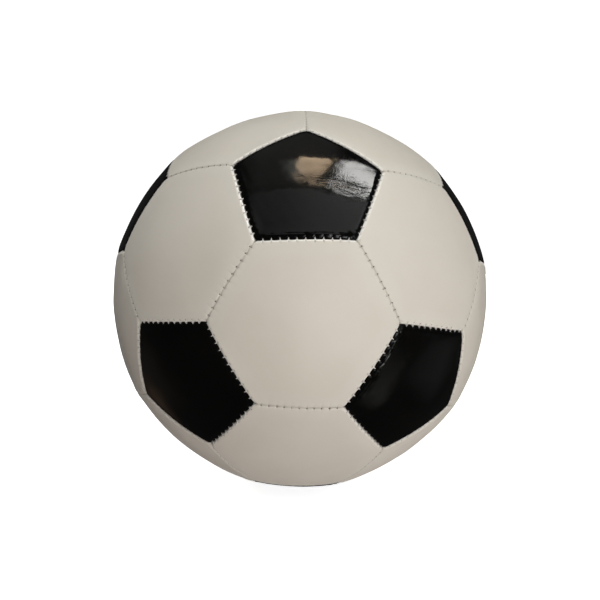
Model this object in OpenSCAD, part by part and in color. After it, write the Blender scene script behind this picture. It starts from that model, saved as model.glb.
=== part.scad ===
// Stitched soccer ball: 12 pentagon and 20 hexagon panels sewn edge to edge over an inflated bladder.
// The centre of the ball is the origin. The middle of one hexagon faces -Y, with a pentagon above it,
// and the valve is in the opposite hexagon, on +Y.

/* [Ball] */
// Diameter of the ball across two opposite seam corners
ball_d = 221; // [200:1:240]
// Depth of a hexagon's middle below the seam corners, because an inflated panel bulges less than a sphere
hexagon_flatness = 1.45; // [0.8:0.05:2.4]

/* [Panel layers] */
// Thickness of the PVC cover
cover_t = 1.1; // [0.8:0.05:1.8]
// Thickness of the foam backing
foam_t = 2; // [1:0.1:2.5]
// Thickness of the woven lining
lining_t = 0.6; // [0.4:0.05:0.8]
// Gap on each side of a seam, and between two layers
layer_gap = 0.05; // [0.02:0.01:0.1]

/* [Stitching] */
// Diameter of the thread
thread_d = 0.6; // [0.4:0.05:0.7]
// Number of stitches across each seam
stitches = 11; // [6:1:12]
// Length left without a stitch at each end of a seam
corner_length = 3; // [2.5:0.1:5]

/* [Bladder] */
// Thickness of the bladder's wall
bladder_t = 0.6; // [0.4:0.05:1.2]
// Depth from the seam corners to the outside of the bladder
bladder_depth = 6.85; // [6.5:0.05:8]

/* [Valve] */
// Diameter of the valve's hole in its panel
valve_hole_d = 9; // [8.6:0.1:11]
// Diameter of the valve's flange on the bladder
flange_d = 30; // [24:1:36]
// Thickness of the flange, of the patch under it and of the ring around the hole
patch_t = 0.7; // [0.5:0.05:0.75]
// Length of the pull-out valve core
core_length = 16; // [14:0.5:20]
// Diameter of the core at its inner end
core_tip_d = 5; // [4:0.1:5.2]
// Diameter of the needle channel
needle_d = 2.1; // [1.8:0.05:2.4]
// Depth of the needle channel, which ends at a slit that closes itself
needle_depth = 12; // [8:0.5:13]

/* [Hidden] */
ball_r = ball_d / 2;

// How far a cutting shape reaches beyond the surface it cuts, where the exact length does not matter.
beyond = 5;
// The same where the length does matter, just enough to leave no skin.
overlap = 0.01;

// Directions of the twelve pentagons, in four rings of three around the Y axis.
near_ring = acos(sqrt((5 + 2 * sqrt(5)) / 15));
far_ring = acos(sqrt((5 - 2 * sqrt(5)) / 15));
ring_angles = [near_ring, far_ring, 180 - far_ring, 180 - near_ring];
ring_starts = [90, 30, 90, 30];
function direction(from_front, around) =
    [sin(from_front) * cos(around), -cos(from_front), sin(from_front) * sin(around)];
pentagon_axes = [
    for (ring = [0:3], turn = [0:2]) direction(ring_angles[ring], ring_starts[ring] + 120 * turn)];

// Two pentagons are neighbours when one hexagon edge joins them.
function unit(v) = v / norm(v);
function neighbours(i, j) = i != j && pentagon_axes[i] * pentagon_axes[j] > 0.4;

// A hexagon lies between each three pentagons that are all neighbours.
hexagon_triples = [for (i = [0:9], j = [i + 1:10], k = [j + 1:11])
    if (neighbours(i, j) && neighbours(j, k) && neighbours(i, k)) [i, j, k]];
hexagon_axes = [
    for (t = hexagon_triples) unit(pentagon_axes[t[0]] + pentagon_axes[t[1]] + pentagon_axes[t[2]])];

// The corner of pentagon i that points to pentagon j, a third of the way there.
function corner(i, j) = unit(2 * pentagon_axes[i] + pentagon_axes[j]);

// Seams, each as a pair of corners: five around each pentagon, and one from each pentagon to each neighbour.
function pentagon_seams(i) = [for (j = [0:10], k = [j + 1:11])
    if (neighbours(i, j) && neighbours(j, k) && neighbours(i, k)) [corner(i, j), corner(i, k)]];
hexagon_seams = [for (i = [0:10], j = [i + 1:11]) if (neighbours(i, j)) [corner(i, j), corner(j, i)]];

// Angles at the ball's centre, from a panel's middle to its corners and to the middles of its edges.
edge = ball_r / (sqrt(58 + 18 * sqrt(5)) / 4);
hexagon_corner_angle = asin(edge / ball_r);
hexagon_edge_angle = atan(edge * sqrt(3) / 2 / sqrt(pow(ball_r, 2) - pow(edge, 2)));
pentagon_radius = edge / (2 * sin(36));
pentagon_corner_angle = asin(pentagon_radius / ball_r);
pentagon_edge_angle = atan(pentagon_radius * cos(36) / sqrt(pow(ball_r, 2) - pow(pentagon_radius, 2)));

// A panel's outside is a patch of a sphere that is larger than the ball and sits behind its centre.
// The pentagons' patch is set so that both kinds of panel meet along the same seam curve.
hexagon_drop = hexagon_flatness * (2 * ball_r - hexagon_flatness)
    / (2 * (ball_r * (1 - cos(hexagon_corner_angle)) - hexagon_flatness));
pentagon_drop = hexagon_drop * cos(hexagon_edge_angle) / cos(pentagon_edge_angle);
function dome_radius(drop, corner_angle) =
    sqrt(pow(ball_r, 2) + pow(drop, 2) + 2 * ball_r * drop * cos(corner_angle));
hexagon_dome_r = dome_radius(hexagon_drop, hexagon_corner_angle);
pentagon_dome_r = dome_radius(pentagon_drop, pentagon_corner_angle);

// A seam is an arc in the plane between its two panels.
seam_drop = hexagon_drop * cos(hexagon_edge_angle);
seam_r = sqrt(pow(hexagon_dome_r, 2) - pow(hexagon_drop * sin(hexagon_edge_angle), 2));

// Depths of the layers below the outside of the cover.
foam_top = cover_t + layer_gap;
lining_top = foam_top + foam_t + layer_gap;
ring_top = lining_top + lining_t + layer_gap;

// The thread runs along each hem, just under the cover, and is pulled thinner where it crosses the seam.
thread_gap = 0.02;
inner_gap = 0.1;
thread_side = layer_gap + cover_t + thread_d / 2 + thread_gap;
thread_depth = cover_t + thread_d / 2 + inner_gap;
crossing_d = 0.8 * thread_d;

// The layers behind a cover start beside the thread, and the hems end just outside the bladder.
inner_side = thread_side + thread_d / 2 + inner_gap;
bladder_r = ball_r - bladder_depth;
hem_end_r = bladder_r + inner_gap;

// The valve sits a little below the outside of its panel. Heights are measured from the ball's centre.
valve_recess = 0.25;
panel_top = ball_r - hexagon_flatness;
valve_top = panel_top - valve_recess;

// Core: its wide head, the neck of its taper, and the chamfered mouth of its needle channel.
head_d = 7.2;
head_t = 1;
core_neck_d = 6.4;
core_gap = 0.05;
mouth_t = 0.6;

// Stem in the panel's hole, and tube inside the bladder with a narrower opening below the core's seat.
stem_gap = 0.1;
stem_d = valve_hole_d - 2 * stem_gap;
tube_wall = 2;
tube_d = core_neck_d + 2 * tube_wall;
tube_bottom_t = 1.5;
tube_end = valve_top - core_length - tube_bottom_t;
tube_opening_d = core_tip_d - 1;
tube_into_flange = 0.4;

// Holes that the valve passes through, and the cloth ring behind the panel.
bladder_hole_d = tube_d + 3;
patch_hole_d = tube_d + 0.2;
layer_hole_d = valve_hole_d + 1;
ring_hole_d = valve_hole_d + 0.4;
ring_d = flange_d + 2;

sphere_fn = 160;
round_fn = 72;
thread_fn = 24;

function two_digits(n) = str(n < 10 ? "0" : "", n);
function numbered(name, n) = str(name, "_", two_digits(n));
function numbered_list(name, count) = [for (n = [1:count]) numbered(name, n)];

// Turns +Z to an axis, and +X towards a second direction.
module along(axis, towards) {
    x = unit(towards - (towards * axis) * axis);
    y = cross(axis, x);
    multmatrix([
        [x[0], y[0], axis[0], 0],
        [x[1], y[1], axis[1], 0],
        [x[2], y[2], axis[2], 0],
        [0, 0, 0, 1]
    ]) children();
}

module at_pentagon(i) {
    next = [for (j = [0:11]) if (neighbours(i, j)) pentagon_axes[j]][0];
    along(pentagon_axes[i], next) children();
}

module at_hexagon(i) {
    triple = hexagon_triples[i];
    along(hexagon_axes[i], corner(triple[0], triple[1])) children();
}

// Sphere whose poles and seam are away from +Z.
module side_sphere(r) rotate([90, 0, 0]) sphere(r, $fn = sphere_fn);

// Pyramid from the ball's centre through a panel's edges, drawn in by a distance from each edge.
module sector(sides, corner_angle, edge_angle, inset) {
    height = ball_r + beyond;
    translate([0, 0, inset / sin(edge_angle)])
        cylinder(h = height, r1 = 0, r2 = height * tan(corner_angle), $fn = sides);
}

// Cover of one panel: the outer skin, and the hem where its edge turns in between two panels.
module cover(sides, corner_angle, edge_angle, drop, dome_r) {
    difference() {
        intersection() {
            sector(sides, corner_angle, edge_angle, layer_gap);
            translate([0, 0, -drop]) side_sphere(dome_r);
        }
        intersection() {
            sector(sides, corner_angle, edge_angle, layer_gap + cover_t);
            translate([0, 0, -drop]) side_sphere(dome_r - cover_t);
        }
        side_sphere(hem_end_r);
    }
}

// One flat layer behind a cover, clear of the hems and of the thread.
module layer(sides, corner_angle, edge_angle, drop, dome_r, depth, thickness) {
    intersection() {
        sector(sides, corner_angle, edge_angle, inner_side);
        translate([0, 0, -drop]) difference() {
            side_sphere(dome_r - depth);
            side_sphere(dome_r - depth - thickness);
        }
    }
}

module pentagon_cover() cover(5, pentagon_corner_angle, pentagon_edge_angle, pentagon_drop, pentagon_dome_r);
module hexagon_cover() cover(6, hexagon_corner_angle, hexagon_edge_angle, hexagon_drop, hexagon_dome_r);

module pentagon_layer(depth, thickness)
    layer(5, pentagon_corner_angle, pentagon_edge_angle, pentagon_drop, pentagon_dome_r, depth, thickness);

module hexagon_layer(depth, thickness)
    layer(6, hexagon_corner_angle, hexagon_edge_angle, hexagon_drop, hexagon_dome_r, depth, thickness);

// Valve parts are drawn along +Z and turned to +Y, the last hexagon's axis.
module on_valve_axis() rotate([-90, 0, 0]) children();

module valve_hole(d) {
    on_valve_axis() translate([0, 0, hem_end_r - beyond])
        cylinder(d = d, h = bladder_depth + 2 * beyond, $fn = round_fn);
}

module pentagon_panel(i) color([0.03, 0.03, 0.035]) at_pentagon(i) pentagon_cover();

module hexagon_panel(i) color([0.82, 0.8, 0.76]) {
    if (i < 19) at_hexagon(i) hexagon_cover();
    else difference() {
        at_hexagon(i) hexagon_cover();
        valve_hole(valve_hole_d);
    }
}

module pentagon_foam_backings() color([0.9, 0.88, 0.8]) {
    for (i = [0:11]) at_pentagon(i) pentagon_layer(foam_top, foam_t);
}

module hexagon_foam_backings() color([0.9, 0.88, 0.8]) {
    for (i = [0:18]) at_hexagon(i) hexagon_layer(foam_top, foam_t);
    difference() {
        at_hexagon(19) hexagon_layer(foam_top, foam_t);
        valve_hole(layer_hole_d);
    }
}

module pentagon_linings() color([0.85, 0.85, 0.87]) {
    for (i = [0:11]) at_pentagon(i) pentagon_layer(lining_top, lining_t);
}

module hexagon_linings() color([0.85, 0.85, 0.87]) {
    for (i = [0:18]) at_hexagon(i) hexagon_layer(lining_top, lining_t);
    difference() {
        at_hexagon(19) hexagon_layer(lining_top, lining_t);
        valve_hole(layer_hole_d);
    }
}

// Thread of one seam: a run pulled flat against each hem, joined by a round crossing at each stitch.
// Its plane is turned so that +X is the seam's middle and +Z points across the seam.
module seam_thread(seam) {
    middle = unit(seam[0] + seam[1]);
    across = unit(cross(seam[0], seam[1]));
    run_r = seam_r - thread_depth;
    half_run = asin((edge / 2 - corner_length) / seam_r);
    half_row = asin((edge / 2 - corner_length - thread_d) / seam_r);
    along(across, middle) translate([-seam_drop, 0, 0]) {
        for (side = [-1, 1]) {
            translate([0, 0, side * thread_side]) rotate([0, 0, -half_run])
                rotate_extrude(angle = 2 * half_run, $fn = 4 * sphere_fn)
                    translate([run_r, 0]) square(thread_d, center = true);
        }
        for (n = [0:stitches - 1]) {
            rotate([0, 0, half_row * (2 * n / (stitches - 1) - 1)]) translate([run_r, 0, 0])
                cylinder(d = crossing_d, h = 2 * thread_side, center = true, $fn = thread_fn);
        }
    }
}

module pentagon_seam_thread(i) color([0.75, 0.74, 0.72]) {
    for (seam = pentagon_seams(i)) seam_thread(seam);
}

module hexagon_seam_threads() color([0.75, 0.74, 0.72]) {
    for (seam = hexagon_seams) seam_thread(seam);
}

module bladder() color([0.12, 0.12, 0.12]) difference() {
    sphere(bladder_r, $fn = sphere_fn);
    sphere(bladder_r - bladder_t, $fn = sphere_fn);
    on_valve_axis() cylinder(d = bladder_hole_d, h = ball_r, $fn = round_fn);
}

// Round piece cut from a spherical shell, centred on the valve's axis.
module shell_disc(inner_r, thickness, d) intersection() {
    difference() {
        side_sphere(inner_r + thickness);
        side_sphere(inner_r);
    }
    cylinder(d = d, h = 2 * ball_r, $fn = round_fn);
}

module bladder_patch() color([0.2, 0.18, 0.17]) on_valve_axis() difference() {
    shell_disc(bladder_r - bladder_t - layer_gap - patch_t, patch_t, flange_d);
    cylinder(d = patch_hole_d, h = ball_r, $fn = round_fn);
}

// Moulded rubber stem with a flange on the outside of the bladder and a tube that reaches inwards.
// Its tapered seat is open at both ends, and holds the core.
module valve_body() color([0.16, 0.16, 0.17]) on_valve_axis() difference() {
    union() {
        shell_disc(bladder_r + layer_gap, patch_t, flange_d);
        translate([0, 0, tube_end])
            cylinder(d = tube_d, h = bladder_r + tube_into_flange - tube_end, $fn = round_fn);
        translate([0, 0, bladder_r]) cylinder(d = stem_d, h = valve_top - bladder_r, $fn = round_fn);
    }
    translate([0, 0, valve_top - core_length]) cylinder(
        d1 = core_tip_d + 2 * core_gap, d2 = core_neck_d + 2 * core_gap, h = core_length, $fn = round_fn);
    translate([0, 0, tube_end - beyond])
        cylinder(d = tube_opening_d, h = beyond + tube_bottom_t + core_gap, $fn = round_fn);
    translate([0, 0, valve_top - head_t - core_gap])
        cylinder(d = head_d + 2 * core_gap, h = head_t + beyond, $fn = round_fn);
}

// Tapered soft plug with a wider head and a needle channel down its middle.
module valve_core() color([0.3, 0.3, 0.31]) on_valve_axis() difference() {
    union() {
        translate([0, 0, valve_top - core_length + core_gap]) cylinder(
            d1 = core_tip_d, d2 = core_neck_d, h = core_length - core_gap, $fn = round_fn);
        translate([0, 0, valve_top - head_t]) cylinder(d = head_d, h = head_t, $fn = round_fn);
    }
    translate([0, 0, valve_top - needle_depth]) cylinder(d = needle_d, h = core_length, $fn = round_fn);
    translate([0, 0, valve_top - mouth_t]) cylinder(
        d1 = needle_d, d2 = needle_d + 2 * mouth_t, h = mouth_t + overlap, $fn = round_fn);
}

module valve_hole_ring() color([0.85, 0.85, 0.87]) on_valve_axis() difference() {
    translate([0, 0, -hexagon_drop])
        shell_disc(hexagon_dome_r - ring_top - patch_t, patch_t, ring_d);
    cylinder(d = ring_hole_d, h = 2 * ball_r, $fn = round_fn);
}

for (i = [0:11]) pentagon_panel(i);
for (i = [0:19]) hexagon_panel(i);
pentagon_foam_backings();
hexagon_foam_backings();
pentagon_linings();
hexagon_linings();
for (i = [0:11]) {
    pentagon_seam_thread(i);
}
hexagon_seam_threads();
bladder();
bladder_patch();
valve_body();
valve_core();
valve_hole_ring();
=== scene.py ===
import math

import bpy
import numpy as np
from mathutils import Matrix, Vector


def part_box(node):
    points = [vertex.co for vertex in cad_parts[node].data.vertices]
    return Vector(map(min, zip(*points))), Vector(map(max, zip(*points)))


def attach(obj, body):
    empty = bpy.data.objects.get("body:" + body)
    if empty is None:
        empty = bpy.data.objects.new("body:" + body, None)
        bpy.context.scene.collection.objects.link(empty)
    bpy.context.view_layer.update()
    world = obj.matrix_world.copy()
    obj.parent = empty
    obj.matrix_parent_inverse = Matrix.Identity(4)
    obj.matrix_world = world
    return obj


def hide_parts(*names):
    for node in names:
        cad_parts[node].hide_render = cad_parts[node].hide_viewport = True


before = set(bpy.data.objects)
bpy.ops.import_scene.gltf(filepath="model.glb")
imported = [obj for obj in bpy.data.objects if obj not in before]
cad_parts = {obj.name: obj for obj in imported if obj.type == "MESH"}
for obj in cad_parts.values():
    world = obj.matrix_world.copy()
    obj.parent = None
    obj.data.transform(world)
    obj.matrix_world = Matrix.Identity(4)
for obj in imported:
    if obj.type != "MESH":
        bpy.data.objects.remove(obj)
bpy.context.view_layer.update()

# The ball is worked out in millimetres, and turned into metres when a mesh is made. The stage, the lights and the
# camera are in metres.
MM = 0.001


def unit(v):
    v = np.asarray(v, float)
    return v / np.linalg.norm(v)


def smooth_step(low, high, x):
    t = np.clip((np.asarray(x, float) - low) / (high - low), 0, 1)
    return t * t * (3 - 2 * t)


# ---- layout of the ball, as in the CAD

def farthest_point(node):
    """Distance from the ball's centre to the farthest vertex of a CAD node."""
    co = np.zeros(len(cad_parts[node].data.vertices) * 3, np.float32)
    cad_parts[node].data.vertices.foreach_get("co", co)
    return np.linalg.norm(co.reshape(-1, 3), axis=1).max() / MM


BALL_R = farthest_point("hexagon_panel_01")
FLATNESS = BALL_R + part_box("hexagon_panel_01")[0].y / MM

near_ring = math.acos(math.sqrt((5 + 2 * math.sqrt(5)) / 15))
far_ring = math.acos(math.sqrt((5 - 2 * math.sqrt(5)) / 15))
RINGS = [(near_ring, 90), (far_ring, 30), (math.pi - far_ring, 90), (math.pi - near_ring, 30)]


def direction(from_front, around):
    a = math.radians(around)
    return np.array([
        math.sin(from_front) * math.cos(a), -math.cos(from_front), math.sin(from_front) * math.sin(a)])


PENTAGON_AXES = [direction(ring, start + 120 * turn) for ring, start in RINGS for turn in range(3)]


def neighbours(i, j):
    """Whether two pentagons are 63 degrees apart. All the others are more than a right angle apart."""
    return i != j and PENTAGON_AXES[i] @ PENTAGON_AXES[j] > 0.4


def corner(i, j):
    return unit(2 * PENTAGON_AXES[i] + PENTAGON_AXES[j])


TRIPLES = [
    (i, j, k) for i in range(12) for j in range(i + 1, 12) for k in range(j + 1, 12)
    if neighbours(i, j) and neighbours(j, k) and neighbours(i, k)]

EDGE = BALL_R / (math.sqrt(58 + 18 * math.sqrt(5)) / 4)
HEX_CORNER = math.asin(EDGE / BALL_R)
HEX_EDGE = math.atan(EDGE * math.sqrt(3) / 2 / math.sqrt(BALL_R**2 - EDGE**2))
PENT_CIRCLE = EDGE / (2 * math.sin(math.pi / 5))
PENT_CORNER = math.asin(PENT_CIRCLE / BALL_R)
PENT_EDGE = math.atan(PENT_CIRCLE * math.cos(math.pi / 5) / math.sqrt(BALL_R**2 - PENT_CIRCLE**2))
HEX_DROP = FLATNESS * (2 * BALL_R - FLATNESS) / (2 * (BALL_R * (1 - math.cos(HEX_CORNER)) - FLATNESS))
PENT_DROP = HEX_DROP * math.cos(HEX_EDGE) / math.cos(PENT_EDGE)


def dome_radius(drop, corner_angle):
    return math.sqrt(BALL_R**2 + drop**2 + 2 * BALL_R * drop * math.cos(corner_angle))


HEX_DOME = dome_radius(HEX_DROP, HEX_CORNER)
PENT_DOME = dome_radius(PENT_DROP, PENT_CORNER)
SEAM_R = math.sqrt(HEX_DOME**2 - (HEX_DROP * math.sin(HEX_EDGE))**2)

# The same sizes as in the CAD source.
COVER_T = 1.1
LAYER_GAP = 0.05
FOAM_T = 2.0
LINING_T = 0.6
THREAD_D = 0.6
STITCHES = 11
CORNER_LENGTH = 3.0
STITCH_ANGLE = math.asin((EDGE / 2 - CORNER_LENGTH - THREAD_D) / SEAM_R)
STITCH_AT = SEAM_R * np.sin(STITCH_ANGLE * (2 * np.arange(STITCHES) / (STITCHES - 1) - 1))
PITCH = float(STITCH_AT[1] - STITCH_AT[0])

SEAM_KEYS = {}


def seam_key(a, b):
    """Number of the seam between two corners, and whether a to b is its own direction."""
    names = [tuple(np.round(c, 4)) for c in (a, b)]
    key = tuple(sorted(names))
    return SEAM_KEYS.setdefault(key, len(SEAM_KEYS)), names[0] == key[0]


class Side:
    def __init__(self, a, b, axis, kind):
        self.kind = kind
        self.along = unit(b - a)
        self.middle = unit(a + b)
        self.inward = unit(np.cross(a, b))
        if self.inward @ axis < 0:
            self.inward = -self.inward
        self.seam, self.forward = seam_key(a, b)


class Panel:
    def __init__(self, name, axis, corners, drop, dome, kinds):
        self.name = name
        self.axis = axis
        first = unit(corners[0][0] - (corners[0][0] @ axis) * axis)
        second = np.cross(axis, first)
        corners.sort(key=lambda c: math.atan2(c[0] @ second, c[0] @ first) % (2 * math.pi - 1e-9))
        self.corners = [c[0] for c in corners]
        owners = [c[1] for c in corners]
        count = len(corners)
        self.count = count
        self.first, self.second = first, second
        self.drop, self.dome = drop, dome
        self.centre = -drop * axis
        self.sides = []
        for k in range(count):
            after = (k + 1) % count
            same = owners[k] == owners[after]
            self.sides.append(Side(self.corners[k], self.corners[after], axis, kinds[same]))
        self.slope = self.sides[0].inward @ axis
        self.depth = (dome - drop) * self.slope

    def on_ray(self, start, way, z):
        """Point of the dome raised by z on the line from start along way."""
        q = start - self.centre
        b = q @ way
        return start + (-b + math.sqrt(b * b - (q @ q - (self.dome + z)**2))) * way

    def corner_point(self, k, inset, z):
        return self.on_ray(self.axis * inset / self.slope, self.corners[k], z)

    def side_points(self, k, inset, v, z):
        """Points at an inset from side k and at v along it, on the dome raised by z."""
        s = self.sides[k]
        q = np.outer(inset, s.inward) + np.outer(v, s.along) - self.centre
        b = q @ s.middle
        rise = -b + np.sqrt(b * b - ((q * q).sum(1) - (self.dome + z)**2))
        return q + self.centre + np.outer(rise, s.middle)

    def polar(self, angle, around, z):
        """Points of the dome raised by z, at an angle from the axis as seen from the dome's centre."""
        flat = np.outer(np.cos(around), self.first) + np.outer(np.sin(around), self.second)
        way = np.sin(angle)[:, None] * flat + np.outer(np.cos(angle), self.axis)
        return self.centre + (self.dome + z)[:, None] * way


PENTAGONS = [
    Panel(f"{i + 1:02d}", PENTAGON_AXES[i], [(corner(i, j), i) for j in range(12) if neighbours(i, j)],
          PENT_DROP, PENT_DOME, {True: "mixed", False: "mixed"})
    for i in range(12)]
HEXAGONS = [
    Panel(f"{n + 1:02d}", unit(sum(PENTAGON_AXES[i] for i in t)),
          [(corner(a, b), a) for a in t for b in t if a != b],
          HEX_DROP, HEX_DOME, {True: "mixed", False: "white"})
    for n, t in enumerate(TRIPLES)]


def front_way(around):
    """Direction across the front of the ball, in degrees from the right."""
    return np.array([math.cos(math.radians(around)), 0, math.sin(math.radians(around))])


# Sewn by hand, the ball is a little uneven: each corner is moved off the even layout by a seeded draw of up to so
# many millimetres along each axis, less the part that would lift it off the ball. The corners of the valve's panel
# stay in place, and so does its hole.
UNEVEN = 1.2
UNEVEN_SEED = 60
SPREAD = 22.0


def corner_shifts():
    """The covers' corners on the ball, and weights for a smooth shift that passes through theirs."""
    corners = np.array([way for panel in PENTAGONS for way in panel.corners])
    shifts = np.random.default_rng(UNEVEN_SEED).uniform(-UNEVEN, UNEVEN, size=corners.shape)
    shifts -= (shifts * corners).sum(1)[:, None] * corners
    shifts[corners @ HEXAGONS[-1].axis > math.cos(HEX_CORNER) - 0.01] = 0
    points = corners * BALL_R
    apart = np.linalg.norm(points[:, None] - points[None, :], axis=2)
    return points, np.linalg.solve(np.exp(-(apart / SPREAD)**2 / 2), shifts)


OFF_POINTS, OFF_WEIGHTS = corner_shifts()


def settled(points):
    """Points moved along the ball to where the uneven corners take them."""
    r = np.linalg.norm(points, axis=1)[:, None]
    apart = np.linalg.norm((points / r * BALL_R)[:, None] - OFF_POINTS[None, :], axis=2)
    moved = points + np.exp(-(apart / SPREAD)**2 / 2) @ OFF_WEIGHTS * (r / BALL_R)
    return moved / np.linalg.norm(moved, axis=1)[:, None] * r


# ---- noise

def waves(points, wavelength, count, seed):
    """Smooth noise of about unit height from plane waves in seeded directions."""
    rng = np.random.default_rng(seed)
    total = np.zeros(len(points))
    for _ in range(count):
        way = unit(rng.normal(size=3))
        length = wavelength * rng.uniform(0.7, 1.4)
        total += np.sin(points @ way * (2 * math.pi / length) + rng.uniform(0, 2 * math.pi))
    return total * math.sqrt(2 / count)


# Each stitch differs a little: how deep it pulls, and where its two holes are.
SEAM_RNG = np.random.default_rng(32)
STITCH_DEPTH = SEAM_RNG.uniform(0.7, 1.25, size=(90, STITCHES))
STITCH_SHIFT = SEAM_RNG.uniform(-0.16, 0.16, size=(90, STITCHES))
HOLE_SHIFT = SEAM_RNG.uniform(-0.12, 0.12, size=(90, STITCHES))

# ---- meshes

def facing_out(points, quads, triangles):
    """The faces of a closed skin, turned over if they face inwards."""
    corners = np.concatenate([quads[:, [0, 1, 2]], quads[:, [0, 2, 3]], triangles])
    a, b, c = (points[corners[:, i]] for i in range(3))
    if np.einsum("ij,ij->", a, np.cross(b, c)) < 0:
        return quads[:, ::-1], triangles[:, ::-1]
    return quads, triangles


def make_mesh(name, points, quads, triangles, material, attributes=None, smooth=True):
    """Mesh object from arrays, points in millimetres."""
    me = bpy.data.meshes.new(name)
    quads = np.asarray(quads, np.int32).reshape(-1, 4)
    triangles = np.asarray(triangles, np.int32).reshape(-1, 3)
    quads, triangles = facing_out(np.asarray(points), quads, triangles)
    me.vertices.add(len(points))
    me.vertices.foreach_set("co", (np.asarray(points) * MM).astype(np.float32).ravel())
    loops = np.concatenate([quads.ravel(), triangles.ravel()])
    totals = np.concatenate([np.full(len(quads), 4), np.full(len(triangles), 3)]).astype(np.int32)
    starts = np.concatenate([[0], np.cumsum(totals)[:-1]]).astype(np.int32)
    me.loops.add(len(loops))
    me.loops.foreach_set("vertex_index", loops)
    me.polygons.add(len(totals))
    me.polygons.foreach_set("loop_start", starts)
    me.polygons.foreach_set("loop_total", totals)
    me.polygons.foreach_set("use_smooth", np.full(len(totals), smooth))
    for key, values in (attributes or {}).items():
        me.attributes.new(key, "FLOAT", "POINT").data.foreach_set("value", np.asarray(values, np.float32))
    me.update()
    me.validate()
    me.materials.append(material)
    obj = bpy.data.objects.new(name, me)
    bpy.context.scene.collection.objects.link(obj)
    return obj


def bridge(upper, lower):
    """Faces between two closed loops of vertex numbers, where one may have twice as many as the other."""
    a, b = np.asarray(upper), np.asarray(lower)
    a1, b1 = np.roll(a, -1), np.roll(b, -1)
    if len(a) == len(b):
        return np.stack([a, a1, b1, b], 1), np.zeros((0, 3), int)
    if len(a) == 2 * len(b):
        f0, f1, f2 = a[0::2], a[1::2], a1[1::2]
        return np.zeros((0, 4), int), np.concatenate([
            np.stack([f0, f1, b], 1), np.stack([f1, b1, b], 1), np.stack([f1, f2, b1], 1)])
    f0, f1, f2 = b[0::2], b[1::2], b1[1::2]
    return np.zeros((0, 4), int), np.concatenate([
        np.stack([f1, f0, a], 1), np.stack([a1, f1, a], 1), np.stack([f2, f1, a1], 1)])


def loft(loops, first_pole=None, last_pole=None):
    """Faces of a skin through loops of vertex numbers, closed at each end by a pole where one is given."""
    quads, triangles = [], []
    for upper, lower in zip(loops, loops[1:]):
        q, t = bridge(upper, lower)
        quads.append(q)
        triangles.append(t)
    if first_pole is not None:
        a = np.asarray(loops[0])
        triangles.append(np.stack([np.full(len(a), first_pole), np.roll(a, -1), a], 1))
    if last_pole is not None:
        a = np.asarray(loops[-1])
        triangles.append(np.stack([np.full(len(a), last_pole), a, np.roll(a, -1)], 1))
    return np.concatenate(quads), np.concatenate(triangles)


# ---- covers

# Samples along a side: a group round each stitch, and one group up to each corner.
STITCH_GROUP = np.array([-1.4, -0.98, -0.64, -0.38, -0.18, 0, 0.18, 0.38, 0.64, 0.98, 1.4])
END_GROUP = np.array([0.18, 0.38, 0.64, 0.98, 1.4, 1.87, 2.25, 2.6, 2.9, 3.15, 3.36])


def side_samples():
    """Places along a side from its middle, one side's worth, with the first at the corner."""
    half = EDGE / 2
    last = STITCH_AT[-1]
    room = half - last
    values = [-half]
    values += list(-last - END_GROUP[::-1] * room / 3.6)
    for n in range(STITCHES):
        at = STITCH_AT[n]
        values.append(at)
        if n < STITCHES - 1:
            values += list(at + STITCH_GROUP[STITCH_GROUP > 0])
            values.append(at + PITCH / 2)
            values += list(at + PITCH + STITCH_GROUP[STITCH_GROUP < 0])
    values += list(last + END_GROUP * room / 3.6)
    return np.array(values)


SAMPLES = side_samples()


class Style:
    """How one kind of cover rolls over at its seams."""

    def __init__(self, roll, drop, hole, pillow):
        self.roll, self.drop, self.hole, self.pillow = roll, drop, hole, pillow


BLACK = Style(roll=3.2, drop=1.3, hole=0.82, pillow=0.1)
WHITE = Style(roll=1.8, drop=0.9, hole=1.15, pillow=0.09)
WHITE_SEAM_HOLE = 0.42
# Between two hexagons the edges roll down less than beside a pentagon.
WHITE_SEAM_DROP = 0.6
# The panels also dip a little towards those seams.
VALLEY = 0.2
VALLEY_WIDTH = 3.0
# At a stitch the white edge is drawn over the black one. Between stitches the black one bulges over the white.
NOTCH = 0.5
NOTCH_WIDTH = 0.36
BULGE = 0.24
# How strongly that shows on each seam, how high a ridge stands behind the black edge, and how strong a painted
# highlight the white edge gets beside a pentagon, which also weakens the painted shade in its needle holes. On three
# pentagons they are set, by the way the seam lies from the pentagon's middle.
PULL = np.clip(SEAM_RNG.normal(0.75, 0.2, 90), 0.3, 1.1)
RIDGE = np.clip(SEAM_RNG.normal(0.4, 0.15, 90), 0.1, 0.8)
RIM_LIGHT = np.clip(SEAM_RNG.normal(0.5, 0.2, 90), 0.1, 0.9)
SET_SEAMS = {
    0: [(270, 0.95, 1.0, 1.2), (198, 0.75, 0.3, 1.4), (342, 0.4, 0.1, 1.0), (126, 0.35, 0.1, 0.6),
        (54, 0.3, 0.05, 0.7)],
    1: [(90, 0.85, 0.2, 0.4), (20, 0.95, 0.4, 0.3), (315, 0.6, 0.3, 0.4), (235, 0.35, 0.2, 0.2),
        (175, 0.5, 0.2, 0.2)],
    2: [(90, 0.95, 0.15, 0.5), (150, 0.95, 1.0, 0.5), (230, 0.4, 0.2, 0.4), (310, 0.4, 0.2, 0.4),
        (5, 0.5, 0.1, 0.3)]}
for pentagon, rows in SET_SEAMS.items():
    for around, *values in rows:
        seam = min(PENTAGONS[pentagon].sides, key=lambda side: side.inward @ front_way(around)).seam
        PULL[seam], RIDGE[seam], RIM_LIGHT[seam] = values


def hole_insets(seam):
    """How far from the seam the holes lie in the black and in the white cover."""
    return BLACK.hole * (0.35 + 0.65 * PULL[seam]), WHITE.hole * (0.25 + 0.75 * PULL[seam])


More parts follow.
